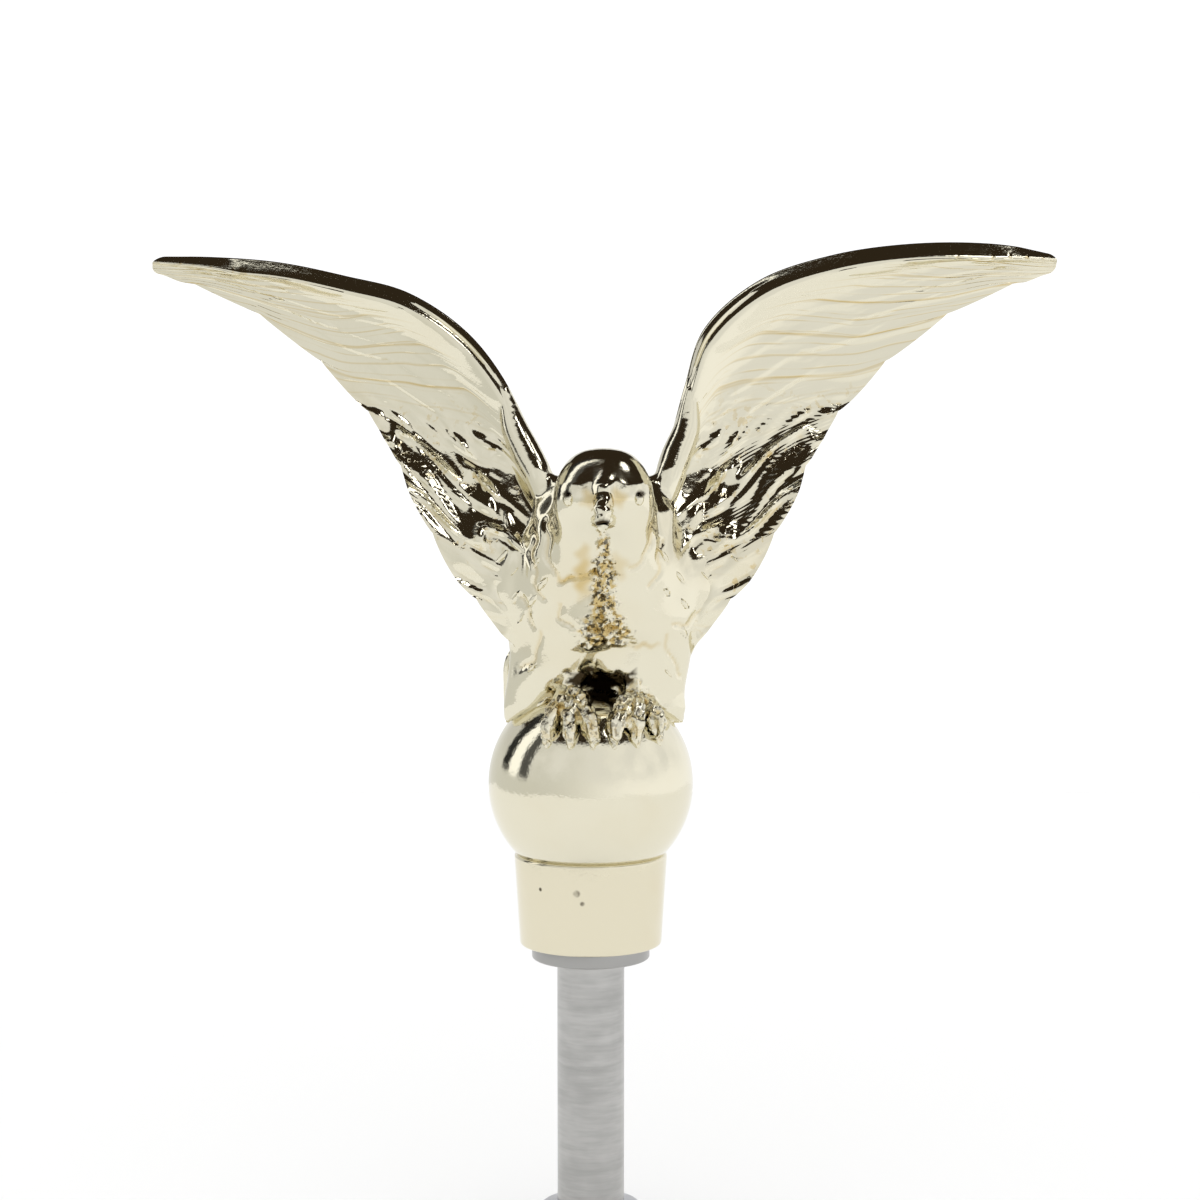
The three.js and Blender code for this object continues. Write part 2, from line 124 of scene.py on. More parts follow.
def neighbourMean(mesh):  # gives a function from points to the mean of each one's neighbours
    edges = np.empty(len(mesh.edges) * 2, np.int32)
    mesh.edges.foreach_get("vertices", edges)
    a, b = edges.reshape(-1, 2).T
    size = len(mesh.vertices)
    count = np.maximum(np.bincount(np.concatenate([a, b]), minlength=size), 1)[:, None]

    def mean(points):
        total = [np.bincount(a, points[b, k], size) + np.bincount(b, points[a, k], size) for k in range(3)]
        return np.stack(total, axis=-1) / count
    return mean


def relax(thing, rounds, hold=None, inward=0.55, outward=-0.53):  # each inward step has an outward one
    mean, points = neighbourMean(thing.data), pointsOf(thing.data)
    for step in range(rounds * 2):
        pull = (inward if step % 2 == 0 else outward) * (mean(points) - points)
        points = points + (pull if hold is None else pull * (1 - hold)[:, None])
    setPoints(thing.data, points)


def pointsOf(mesh):
    flat = np.empty(len(mesh.vertices) * 3)
    mesh.vertices.foreach_get("co", flat)
    return flat.reshape(-1, 3) / mm


def setPoints(mesh, points):
    mesh.vertices.foreach_set("co", (points * mm).ravel())
    mesh.update()


def lofted(name, rings):  # skin over rings of equal count, closed at both ends
    rings = np.asarray(rings)
    rows, count = rings.shape[:2]
    points = np.vstack([rings.reshape(-1, 3), rings[0].mean(0), rings[-1].mean(0)])
    here = np.arange(count)
    after = (here + 1) % count
    foot, crown, last = rows * count, rows * count + 1, (rows - 1) * count
    faces = []
    for start in range(0, last, count):
        faces += (np.stack([here, after, after + count, here + count], axis=-1) + start).tolist()
    faces += [[foot, b, a] for a, b in zip(here.tolist(), after.tolist())]
    faces += [[crown, last + a, last + b] for a, b in zip(here.tolist(), after.tolist())]
    corners = points[np.array([f[:3] for f in faces])] - points.mean(0)
    volume = np.einsum("ij,ij->", corners[:, 0], np.cross(corners[:, 1], corners[:, 2]))
    if volume < 0:
        faces = [f[::-1] for f in faces]
    return meshObject(name, points, faces)


def latheForm(name, profile, sides):  # profile from the axis out and back, as radius and height
    angle = np.linspace(0, 2 * math.pi, sides, endpoint=False)
    rings = [np.stack([r * np.cos(angle), r * np.sin(angle), np.full(sides, z)], axis=-1)
             for r, z in profile[1:-1]]
    return lofted(name, rings)


def arc(centre, radius, start, end, steps):
    return [(centre[0] + radius * math.cos(a), centre[1] + radius * math.sin(a))
            for a in np.linspace(start, end, steps)]


# the foot collar
collarSizes = {"radius": 9.6, "height": 6.4, "edge": 0.6, "sides": 128}
rodFoot = collarSizes["height"]


def footCollar():
    edge, radius = collarSizes["edge"], collarSizes["radius"] - collarSizes["edge"]
    profile = [(0, 0)] + arc((radius, edge), edge, -quarter, 0, 6)
    profile += arc((radius, rodFoot - edge), edge, 0, quarter, 6)
    return latheForm("collar_at_foot", profile + [(0, rodFoot)], collarSizes["sides"])


# the rod with the thin flange on its top
spindleSizes = {"rodRadius": 6.35, "rodLength": 47.9, "flangeRadius": 11.15, "flangeThickness": 2.8,
                "flangeEdge": 0.45, "sides": 128}
flangeFoot = rodFoot + spindleSizes["rodLength"]
ferruleFoot = flangeFoot + spindleSizes["flangeThickness"]


def rodAndFlange():
    rod, edge = spindleSizes["rodRadius"], spindleSizes["flangeEdge"]
    radius = spindleSizes["flangeRadius"] - edge
    profile = [(0, rodFoot), (rod, rodFoot), (rod, flangeFoot)]
    profile += arc((radius, flangeFoot + edge), edge, -quarter, 0, 5)
    profile += arc((radius, ferruleFoot - edge), edge, 0, quarter, 5)
    return latheForm("rod_and_flange", profile + [(0, ferruleFoot)], spindleSizes["sides"])


# the ferrule and the ball on it, cast in one with the bird; sunk: how far their joining line lies in the ball
ballSizes = {"ferruleFootRadius": 13.4, "ferruleTopRadius": 14.4, "ferruleHeight": 17.2, "ferruleEdge": 0.5,
             "ballRadius": 19.3, "neckRadius": 13.9, "sunk": 0.02, "sides": 128}
ferruleTop = ferruleFoot + ballSizes["ferruleHeight"]
ballCentre = ferruleTop + math.sqrt(ballSizes["ballRadius"] ** 2 - ballSizes["neckRadius"] ** 2)
ballTop = ballCentre + ballSizes["ballRadius"]


def ballAndFerrule():
    edge, ball, sunk = ballSizes["ferruleEdge"], ballSizes["ballRadius"], ballSizes["sunk"]
    profile = [(0, ferruleFoot)]
    profile += arc((ballSizes["ferruleFootRadius"] - edge, ferruleFoot + edge), edge, -quarter, 0, 6)
    profile += arc((ballSizes["ferruleTopRadius"] - edge, ferruleTop - edge), edge, 0, math.pi / 3, 6)
    profile += [(ballSizes["neckRadius"] - sunk * 6, ferruleTop + sunk)]
    start = -math.acos(ballSizes["neckRadius"] / ball)
    profile += arc((0, ballCentre), ball, start + sunk, quarter - sunk, 60)
    return latheForm("ball", profile + [(0, ballTop)], ballSizes["sides"])


# the bird, in hundredths of its height above the ball
bird = {"height": 81.3, "offset": 2.4}
unit = bird["height"] / 100
ballShare = ballSizes["ballRadius"] / unit


def place(x, y, z):  # right, back and up on the bird, to millimetres in the frame
    x, y, z = np.broadcast_arrays(np.asarray(x, float), np.asarray(y, float), np.asarray(z, float))
    return np.stack([bird["offset"] + x * unit, y * unit, ballTop + z * unit], axis=-1)


def placedPath(path):
    return place(*np.array(path, float).T)


def birdPlaces(points):  # millimetres in the frame, back to right, back and up on the bird
    return (points[:, 0] - bird["offset"]) / unit, points[:, 1] / unit, (points[:, 2] - ballTop) / unit


def levelForm(name, rings, rows=48, sides=72, swell=None, fall=None, square=1.0):
    # rings hold height, x, y, half width, depth in front and behind; eased between by the spline
    table = curveAt(rings, np.linspace(0, 1, rows))
    angle = np.linspace(0, 2 * math.pi, sides, endpoint=False)
    z, x, y, wide, front, back = (table[:, k:k + 1] for k in range(6))
    depth = np.where(np.sin(angle) < 0, front, back)
    grown = 1.0 if swell is None else 1 + swell(angle[None, :], z)
    level = z - (0 if fall is None else fall(angle[None, :], z))
    cosine, sine = (np.sign(v) * np.abs(v) ** square for v in (np.cos(angle), np.sin(angle)))
    return lofted(name, place(x + wide * cosine * grown, y + depth * sine * grown, level))


def limb(name, path, radii, sides=16, rows=28, flat=1.0, lump=None):
    share = np.linspace(0, 1, rows)
    path = curveAt(path, share)
    radii = curveAt(np.asarray(radii, float)[:, None], share)[:, 0] * unit
    along = np.gradient(path, axis=0)
    along /= np.linalg.norm(along, axis=1)[:, None]
    across = np.cross([0, 0, 1.0], along)
    across[np.linalg.norm(across, axis=1) < 0.01] = (1, 0, 0)
    across /= np.linalg.norm(across, axis=1)[:, None]
    over = np.cross(along, across)
    angle = np.linspace(0, 2 * math.pi, sides, endpoint=False)
    grown = radii[:, None] * (1 if lump is None else 1 + lump(share[:, None], angle))
    ring = (across[:, None] * np.cos(angle)[None, :, None]
            + over[:, None] * np.sin(angle)[None, :, None] * flat)
    return lofted(name, path[:, None] + ring * grown[:, :, None])


def egg(name, centre, radii, pitch=0.0, sides=48, rows=32):
    theta = np.linspace(0.02, math.pi - 0.02, rows)[::-1, None]
    angle = np.linspace(0, 2 * math.pi, sides, endpoint=False)[None, :]
    x = radii[0] * np.sin(theta) * np.cos(angle)
    y = radii[1] * np.sin(theta) * np.sin(angle)
    z = radii[2] * np.cos(theta) + 0 * angle
    turnedY = y * math.cos(pitch) - z * math.sin(pitch)
    turnedZ = y * math.sin(pitch) + z * math.cos(pitch)
    return lofted(name, place(centre[0] + x, centre[1] + turnedY, centre[2] + turnedZ))


# torso, neck and the smooth hood of the head
torsoRings = [
    (7.5, 0, -4, 5, 6, 5), (9, 0, -4, 8.4, 10, 9), (13, 0, -3.6, 10.4, 13, 11),
    (19, 0, -10, 11, 7.8, 18.5), (27, 0, -12, 11.8, 7.3, 20), (33, 0, -14, 11.7, 7.6, 20.6),
    (38, 0, -16, 11.5, 9.1, 19.5), (42.5, 0, -17.5, 11.3, 9.7, 17.9), (45, 0, -17.5, 11, 8.9, 16),
    (47.5, 0, -17, 10.4, 8.1, 13.8), (50, 0, -16.4, 9.2, 7, 11.4), (52.6, 0, -15.6, 6.8, 5.4, 7.6),
    (54, 0, -16, 3.6, 2.7, 4),
]
cloakRings = [
    (-9, -2.1, -5, 20.6, 6.5, 12), (-4, -2.2, -5.5, 20.8, 7.3, 14.7), (2, -1.6, -6, 20.6, 7.9, 17.6),
    (9, -0.4, -6.5, 21.5, 8, 19.5), (17, 0, -6.5, 24, 8.6, 19.9), (24, 0, -6, 26, 8, 19),
    (30, 0, -5, 25, 7, 17), (36, 0, -2, 20, 6.4, 12.6), (41, 0, 1.6, 14, 8, 7), (46, 0, 1, 9, 6, 6),
]
shoulderRings = [
    (10, 0, -9, 16, 7.5, 16), (22, 0, -10.5, 17, 7.4, 17), (32, 0, -11, 17, 6.8, 17),
    (38, 0, -8, 16.4, 7, 13), (44, 0, -2.8, 15.4, 8.8, 8), (46.5, 0, -2.4, 14.2, 7, 7),
    (47.6, 0, -2, 9, 4, 5),
]
hem = {"low": -9, "rise": 14, "top": 22, "bend": 1.2, "squeeze": 0.03}
rumpRings = [
    (-9, -2.1, 2, 20.6, 3, 22.8), (-2, -2.3, 1.5, 20.6, 4.5, 18.5), (5, -2, 1, 20.4, 4.5, 15),
    (12, -0.6, 0.5, 17, 4.5, 12), (20, 0, 0, 9.5, 4, 10),
]


def torso():  # a rough groove runs down the middle of the breast
    def groove(angle, z):
        width = 0.1 + 0.16 * smooth(26, 12, z)
        return -0.07 * np.exp(-((angle - 1.5 * math.pi) / width) ** 2) * smooth(36, 31, z)
    return levelForm("torso", torsoRings, 90, 96, groove, None, 0.86)


def cloak():  # flanks and thighs in one: its hem climbs from the outer sides to the middle
    def squeeze(angle, z):
        ridges = 0.006 * np.sin(angle * 22 + z * 0.4) * smooth(30, 14, z)
        return ridges - hem["squeeze"] * np.sin(2 * angle) ** 2

    def climb(angle, z):
        low = hem["low"] + hem["rise"] * (1 - np.abs(np.cos(angle)) ** hem["bend"]) * (np.sin(angle) < 0)
        share = (hem["top"] - np.minimum(z, hem["top"])) / (hem["top"] - hem["low"])
        return np.minimum(z, hem["top"]) - hem["top"] + share * (hem["top"] - low)
    return levelForm("cloak", cloakRings, 64, 120, squeeze, climb)


def shoulders():
    return levelForm("shoulders", shoulderRings, 30, 72)


# the rolled front edge of each wing runs down over the shoulder, thickest where it leaves the wing
rimRoot = {
    "left": [(-23.4, 4.6, 68), (-22, 4.2, 63.5), (-20.4, 3, 58), (-17.2, 0, 51.5), (-14.6, -3.2, 46.5),
             (-12.8, -6, 38)],
    "right": [(20.4, 4.6, 68), (19.9, 4.2, 63.5), (19.2, 3, 58), (16.6, 0, 51.5), (14.8, -3.2, 46.5),
              (12.8, -6, 38)],
    "radii": (1.2, 2.2, 3.2, 3.6, 3.3, 1.6),
}


def rimRoots():
    return [limb("rimRoot", placedPath(rimRoot[side]), rimRoot["radii"], 24, 30)
            for side in ("left", "right")]


leg = {"path": [(7.6, -5, 11), (7, -8.4, 5), (6.7, -10, -2)], "radii": (4.2, 3, 2.3)}


def legs():
    forms = [limb("leg", placedPath([(side * x, y, z) for x, y, z in leg["path"]]), leg["radii"], 28, 28)
             for side in (-1, 1)]
    return forms + [egg("perch", (0, 5, -6), (8, 10, 10))]


rumpFeathers = {"count": 32, "step": 0.045, "droop": 9, "point": 4}


def rump():
    def wave(angle):
        return (angle * rumpFeathers["count"] / math.tau) % 1

    def feathers(angle, z):
        return rumpFeathers["step"] * (wave(angle) - 0.5) * smooth(16, 2, z)

    def tips(angle, z):
        droop = rumpFeathers["droop"] * np.maximum(0, np.sin(angle)) ** 2
        return smooth(14, -9, z) * (droop + rumpFeathers["point"] * (0.5 - np.abs(wave(angle) - 0.5)) - 1)
    return levelForm("rump", rumpRings, 36, 192, feathers, tips)


# head: a smooth hood with one flattened brow, small eyes, and a short hooked beak that points at the viewer
head = {
    "skull": ((0, -14.5, 43.6), (10.6, 10.8, 10.6), 0.15), "brow": ((-3.9, -21.6, 48), (2.5, 2.9, 1.9)),
    "bridge": [(0, -21.5, 48.4), (0, -24.6, 46.4), (0, -26.6, 43.8), (0, -27.4, 41)],
    "bridgeRadii": (1.8, 2.4, 2.2, 1.4),
    "beak": [(0, -25, 44.6), (0, -28.2, 42.2), (0, -30.6, 39.8), (0, -31.9, 37.4), (0, -31.4, 35.6)],
    "beakRadii": (1.7, 2.3, 2.1, 1.5, 0.7),
    "jaw": [(0, -23, 38.6), (0, -27.8, 37.8), (0, -30.2, 37)], "jawRadii": (3.2, 2.3, 0.9),
    "eye": (7.7, -24.6, 42.8), "eyeRadii": (1.2, 1.6, 1.5),
}


def headForms():
    return [egg("skull", *head["skull"], 64, 48), egg("brow", *head["brow"], 0, 28, 20),
            limb("bridge", placedPath(head["bridge"]), head["bridgeRadii"], 24, 24)]


def beakForms():
    x, y, z = head["eye"]
    forms = [limb("beak", placedPath(head["beak"]), head["beakRadii"], 24, 28, 0.95),
             limb("jaw", placedPath(head["jaw"]), head["jawRadii"], 20, 16, 0.7)]
    return forms + [egg("eye", (side * x, y, z), head["eyeRadii"], 0, 20, 14) for side in (-1, 1)]


# feet: each point of a toe has its share from ankle to tip, height in ball radii and lift off the ball
foot = {
    "spread": 7.5, "toeSpread": 5.1, "toeRadii": (1.5, 1.9, 2.0, 1.4, 0.5), "strand": 0.13, "knuckle": 0.07,
    "toe": [(0.1, 0.93, 1.2), (0.5, 0.79, 1.8), (0.85, 0.65, 1.8), (1, 0.55, 1.1), (1, 0.45, -0.3)],
    "hindToe": [(-10, -1.5), (-6, -0.2), (-2.5, -0.2), (0, -1.5)], "hindRadii": (1.8, 2, 1.5, 0.4),
}


def overBall(x, high, lift):
    reach = ballShare + lift
    aside = x + bird["offset"] / unit
    scaled = high * reach / ballShare
    return place(x, -math.sqrt(max(0, reach ** 2 - aside ** 2 - scaled ** 2)), scaled - ballShare)


def feetForms():
    forms = []
    for side in (-1, 1):
        ankle = side * foot["spread"]
        for toe in (-1, 0, 1):
            tip = ankle + toe * foot["toeSpread"]

            def lump(share, angle):
                strands = foot["strand"] * np.cos(5 * angle + 4 * share + tip)
                return strands + foot["knuckle"] * np.sin(share * 22 + tip)
            path = [overBall(mixed(ankle, tip, share), ballShare * high, lift)
                    for share, high, lift in foot["toe"]]
            forms.append(limb("toe", path, foot["toeRadii"], 30, 40, 1.0, lump))
        hind = placedPath([(ankle, y, z) for y, z in foot["hindToe"]])
        forms.append(limb("hindToe", hind, foot["hindRadii"], 14, 16))
    return forms


# wings: outlines at even steps from shoulder to tip, the same points as the solids
wing = {
    "rightRim": [(8.3, -3.7, 41.6), (14.5, 3, 53.5), (18.6, 5.5, 67.5), (23.2, 8.2, 81), (36, 11, 92.4),
                 (53, 12.5, 98.4), (72, 13.8, 101.2), (91, 15.2, 101.3), (106.4, 16.6, 99.2)],
    "leftRim": [(8.8, -3.7, 41.6), (16, 3, 53.5), (21.8, 5.5, 67.5), (31.5, 8.5, 80.3), (45.5, 11, 89.7),
                (60, 12.4, 93.6), (76, 14, 96.9), (91.5, 15.4, 98.2), (105.4, 16.6, 98.4)],
    "trail": [(17.4, 2.8, 1), (22.6, 3.3, 11.5), (33.5, 5.2, 24.8), (43, 7.2, 41.5), (50.5, 9.2, 56),
              (60.2, 11, 67.8), (74, 12.7, 80.2), (91, 14.8, 90.1), (106.4, 16.6, 94.2)],
    "rimFront": 3.2, "rimBack": 1.7, "rimWidth": 3.9, "rimShareAtTip": 0.34,
    "bladeHalf": 0.9, "trailHalf": 0.55, "hollow": 0.5, "tipReach": 2.6,
    "quillSlant": 0.46, "quillWidth": 0.12, "firstQuill": -0.5, "quills": 12,
    "quillStep": 0.42, "lean": 12.0, "sunkSpan": 0.1, "tipRound": 1.1,
    "foldHeight": 1.2,
}
# profile over the rim: shares of its width, its front depth and its back depth
rimProfile = [(0, 0, 0), (0.04, 0.08, 0.2), (0.12, 0.17, 0.45), (0.3, 0.37, 0.72), (0.5, 0.59, 0.9),
              (0.7, 0.8, 0.98), (0.84, 0.94, 1), (0.92, 0.99, 0.97), (1.0, 1.0, 0.9)]
# rows of feathers from the rim outwards: where tips end, how long they are, feathers to a quill, offset, step
featherRows = [(0.66, 0.2, 1, 0.5, 0.14), (0.5, 0.17, 1, 0.1, 0.14), (0.35, 0.13, 1, 0.6, 0.12)]
scaleRows = [(0.54, 0.16, 1, 0.3, 0.4), (0.4, 0.12, 1.5, 0.8, 0.4), (0.26, 0.1, 1.5, 0.2, 0.3)]


def chance(number, seed):  # a fixed share from 0 to 1 for each whole number
    return (np.sin(np.asarray(number) * 12.9898 + seed * 78.233) * 43758.5453) % 1


def innerShare(line, part):  # the rugged feathers next to the body
    return smooth(5.9, 4.5, line) * smooth(0.8, 2.2, line) * smooth(0.12, 0.28, part)


def pocketShare(line, part):  # the smooth hollow between the neck and the feathers
    return smooth(2.7, 3.2, line) * smooth(5.1, 4.6, line) * smooth(0.52, 0.44, part)


def featherHeight(line, part, span):
    root, tip = smooth(0, 0.04, span), smooth(1, 0.84, span)
    pocket = pocketShare(line, part)
    inner = innerShare(line, part)
    bend = np.sin(part * 11 + line * 1.7) + 0.6 * np.sin(part * 23 - line * 3.1)
    line = line + (0.05 + 0.13 * inner) * bend

    def vane(side, number):  # long face and short step of one feather, with the ridge of its shaft
        wide = mixed(0.06, 0.07 + 0.1 * chance(number, 1), inner)
        off = side - 0.46 - 0.2 * inner * (chance(number, 2) - 0.5)
        shaft = (0.14 + inner * (0.2 + 1.5 * chance(number, 3))) * np.exp(-(off / wide) ** 2)
        second = inner * chance(number, 4) * np.exp(-((side - 0.84) / 0.07) ** 2)
        return (0.5 - side) + smooth(0.8, 1.0, side) + shaft + second
    height = wing["quillStep"] * vane(line % 1, np.floor(line)) * smooth(0.1, 0.3, part)

    def overlaid(height, row, strength):  # a row of round-ended feathers lying over what is there
        where, length, often, offset, step = row
        count = line * often + offset
        side, number = count % 1, np.floor(count)
        rounded = np.sqrt(np.maximum(0, 1 - (1 - np.minimum(side / 0.8, 1)) ** 2)) * smooth(1.0, 0.8, side)
        edge = where + 0.05 * (chance(number, 5) - 0.5) - length * (1 - rounded)
        inside = smooth(edge + 0.014, edge - 0.014, part)
        own = 0.8 * wing["quillStep"] * vane(side, number) * smooth(0, 0.12, part)
        tall = step * (1 + chance(number, 6)) * smooth(edge - 0.22, edge, part) + step
        return mixed(height, own + tall, inside * strength)
    for row in featherRows:
        height = overlaid(height, row, 1 - inner)
    for row in scaleRows:
        height = overlaid(height, row, inner)
    tumble = np.sin(line * 4.1 + part * 17) * np.sin(part * 31 - line * 2.3)
    tumble = tumble + 0.6 * np.sin(line * 9.7 - part * 43)
    return (height * (0.7 + 0.8 * inner) + 0.3 * inner * tumble) * (1 - 0.85 * pocket) * root * tip


wingPlaces = []  # every point of both wings with its quill line and its share from rim to edge


def wingSkin(side):
    rimLine = wing["rightRim"] if side > 0 else wing["leftRim"]

    def blade(span, part, lift, line=None):
        a, b = curveAt(rimLine, span), curveAt(wing["trail"], span)
        hollow = wing["hollow"] * 4 * part * (1 - part) * smooth(1.05, 0.6, span)
        if line is not None:
            sunk = smooth(0, wing["sunkSpan"], span)  # the root stays sunk in the body
            hollow = hollow - wing["lean"] * smooth(5.4, 2.6, line) * smooth(0, 0.3, part) * sunk
        middle = a + (b - a) * part[..., None]
        end = wing["tipReach"] * (np.sqrt(np.maximum(0, 1 - (2 * part - 1) ** 2)) - 1) * smooth(0.93, 1, span)
        return place(side * (middle[..., 0] + end), middle[..., 1] + hollow - lift, middle[..., 2])

    def chord(span):
        return np.linalg.norm(curveAt(rimLine, span) - curveAt(wing["trail"], span), axis=-1)
    lines = [quill + cut for quill in range(wing["quills"])
             for cut in np.linspace(0, 1, 26 if 1 < quill < 6 else 14, endpoint=False)]
    lines = np.array(lines + [wing["quills"] + 0.6])
    profile = curveAt(rimProfile, np.linspace(0, 1, 17))
    start = wing["firstQuill"] + lines[:, None] * wing["quillWidth"]
    profileSpan = clamp(start, 0, 1) + 0 * profile[None, :, 0]
    across = profile[:, 0] * np.minimum(wing["rimWidth"] / chord(profileSpan), wing["rimShareAtTip"])
    full = smooth(1.3, 0.8, profileSpan)
    fold = smooth(0.55, 0.4, profileSpan) * smooth(0.25, 0.34, profileSpan)  # splits the rim where it bends
    fold = wing["foldHeight"] * fold * np.exp(-((profile[:, 0] - 0.36) / 0.14) ** 2)
    rimFront = blade(profileSpan, across, profile[:, 1] * wing["rimFront"] * full + fold)
    rimBack = blade(profileSpan, across, -profile[:, 2] * wing["rimBack"] * full)

    def feathers(rows, front):
        share = rows[None, :]
        part = across[:, -1:] + (1 - across[:, -1:]) * share
        featherParts.append(part)
        line = lines[:, None] + 0 * share
        span = clamp(start + wing["quillSlant"] * part * smooth(0, 0.2, share), 0, 1)
        rim = wing["rimFront" if front else "rimBack"] * full[:, -1:]
        thick = mixed(wing["bladeHalf"], wing["trailHalf"], part)
        thick = mixed(thick, rim, smooth(0.26, 0, share) ** 1.5)
        lift = thick + featherHeight(line, part, span) if front else -thick
        skin = blade(span, part, lift, line)
        out = curveAt(wing["trail"], span) - curveAt(rimLine, span)
        out /= np.linalg.norm(out, axis=-1)[..., None]
        reach = wing["tipRound"] * (np.sin(np.pi * (line % 1)) ** 0.7 - 0.35) * smooth(0.86, 1, part)
        reach = (reach * smooth(1, 0.9, span) * smooth(0, 0.1, span) * unit)[..., None]
        return skin + reach * out * np.array([side, 1, 1])
    featherParts = []
    frontSkin = np.concatenate([rimFront, feathers(np.linspace(0, 1, 84)[1:], True)], axis=1)
    backSkin = np.concatenate([rimBack[:, 1:], feathers(np.linspace(0, 1, 12)[1:], False)], axis=1)
    skin = np.concatenate([frontSkin, backSkin[:, ::-1]], axis=1)
    backParts = np.concatenate([across[:, 1:], featherParts[1]], axis=1)
    parts = np.concatenate([across, featherParts[0], backParts[:, ::-1]], axis=1)
    wingPlaces.append((skin.reshape(-1, 3), (lines[:, None] + 0 * parts).ravel(), parts.ravel()))
    return lofted("wing", skin)


def breastHold(points):  # 1 where the skin stays as it is, 0 where creases of the breast and flanks are eased
    x, y, z = birdPlaces(points)
    breast = smooth(24, 20, np.abs(x)) * smooth(-6, -2, z) * smooth(42, 34, z) * smooth(2, -3, y)
    underside = smooth(13, 10, np.abs(x)) * smooth(11, 8, z)
    crown = smooth(46, 48, z) * smooth(2, 0, y) * smooth(12, 10, np.abs(x)) * 0.5
    beak = smooth(-27, -28, y)
    return 1 - np.maximum(breast * (1 - underside) * (1 - beak), crown)


print("building the eagle")
body = softened([torso(), *headForms(), shoulders(), *rimRoots(), cloak(), *legs()], 0.5, 36, "body")
relax(body, 45, breastHold(pointsOf(body.data)), 0.6, 0.6)
eagle = joined(body, [rump(), wingSkin(1), wingSkin(-1), *beakForms(), *feetForms(), ballAndFerrule()])
eagle.name = "gilt_eagle"
relax(eagle, 8, breastHold(pointsOf(eagle.data)), 0.5, 0.1)
print("eagle triangles", sum(len(p.vertices) - 2 for p in eagle.data.polygons))


print("turning the spindle and its collar")
spindle = rodAndFlange()
collar = footCollar()


class Wire:  # a shader socket that takes part in sums
    def __init__(self, tree, socket):
        self.tree = tree
        self.socket = socket

    def node(self, kind, settings=None, **inputs):
        made = self.tree.nodes.new(kind)
        for key, value in (settings or {}).items():
            setattr(made, key, value)
        for key, value in inputs.items():  # a socket goes by its name, or by i and its number
            socket = made.inputs[int(key[1:]) if key[1:].isdigit() else key.replace("_", " ")]
            if isinstance(value, Wire):
                self.tree.links.new(value.socket, socket)
            else:
                socket.default_value = value
        return made

    def maths(self, operation, other=0.0):
        made = self.node("ShaderNodeMath", {"operation": operation}, i0=self, i1=other)
        return Wire(self.tree, made.outputs[0])

    def __add__(self, other):
        return self.maths("ADD", other)

    def __mul__(self, other):
        return self.maths("MULTIPLY", other)

    def __sub__(self, other):
        return self.maths("SUBTRACT", other)

    def __rsub__(self, other):
        made = self.node("ShaderNodeMath", {"operation": "SUBTRACT"}, i0=other, i1=self)
        return Wire(self.tree, made.outputs[0])

    __radd__ = __add__
    __rmul__ = __mul__

    def part(self, number):  # x, y or z of a vector
        made = self.node("ShaderNodeSeparateXYZ", None, Vector=self)
        return Wire(self.tree, made.outputs[number])

    def ramp(self, low, high):
        made = self.node("ShaderNodeMapRange", {"interpolation_type": "SMOOTHSTEP"}, i0=self, i1=low, i2=high)
        return Wire(self.tree, made.outputs[0])

    def blend(self, a, b):  # colours a to b as this goes from 0 to 1
        a, b = (colour if isinstance(colour, Wire) else (*colour, 1) for colour in (a, b))
        made = self.node("ShaderNodeMix", {"data_type": "RGBA"}, i0=self, i6=a, i7=b)
        return Wire(self.tree, made.outputs[2])


def newMaterial(name):
    material = bpy.data.materials.new(name)
    material.use_nodes = True
    tree = material.node_tree
    tree.nodes.clear()
    shader = tree.nodes.new("ShaderNodeBsdfPrincipled")
    output = tree.nodes.new("ShaderNodeOutputMaterial")
    tree.links.new(shader.outputs[0], output.inputs[0])
    places = Wire(tree, tree.nodes.new("ShaderNodeTexCoord").outputs["Object"])
    return material, shader, places


def noise(places, scale, detail=2.0, rough=0.5, stretch=None):
    where = places
    if stretch:
        mapping = places.node("ShaderNodeMapping", None, Vector=places, Scale=stretch)
        where = Wire(places.tree, mapping.outputs[0])
    made = where.node("ShaderNodeTexNoise", None, Vector=where, Scale=scale, Detail=detail, Roughness=rough)
    return Wire(where.tree, made.outputs["Fac"])


def attributeWire(places, name):
    made = places.node("ShaderNodeAttribute", {"attribute_name": name})
    return Wire(places.tree, made.outputs["Fac"])


# pale gilt plating: colours, the last a near-black painted as shade in the belly recess and over the eyes and
# as dark specks and small pits; then noise scales to a metre, then how deep each grain of the bump is
gilt = {
    "pale": (0.775, 0.735, 0.585), "deep": (0.62, 0.48, 0.22), "paintedDark": (0.04, 0.028, 0.014),
    "cloudScale": 260, "grainScale": 800, "speckScale": 1150, "patchScale": 42,
    "fineScale": 900, "ruggedScale": 1100, "roughness": 0.06,
    "fine": 0.06, "rugged": 0.3, "barbs": 0.03, "lines": 0.05, "bump": 0.0005,
}
# small pits in the cast ferrule: place and radius in millimetres
castingPits = [((-2.6, -13.9, 69.1), 0.9), ((-1.5, -14, 67.2), 0.6), ((-9.3, -10.7, 69.3), 0.5)]
vanes = {"wander": 0.26, "edge": 0.44, "barbsAcross": 71, "barbsAlong": 86, "shaft": 0.46}


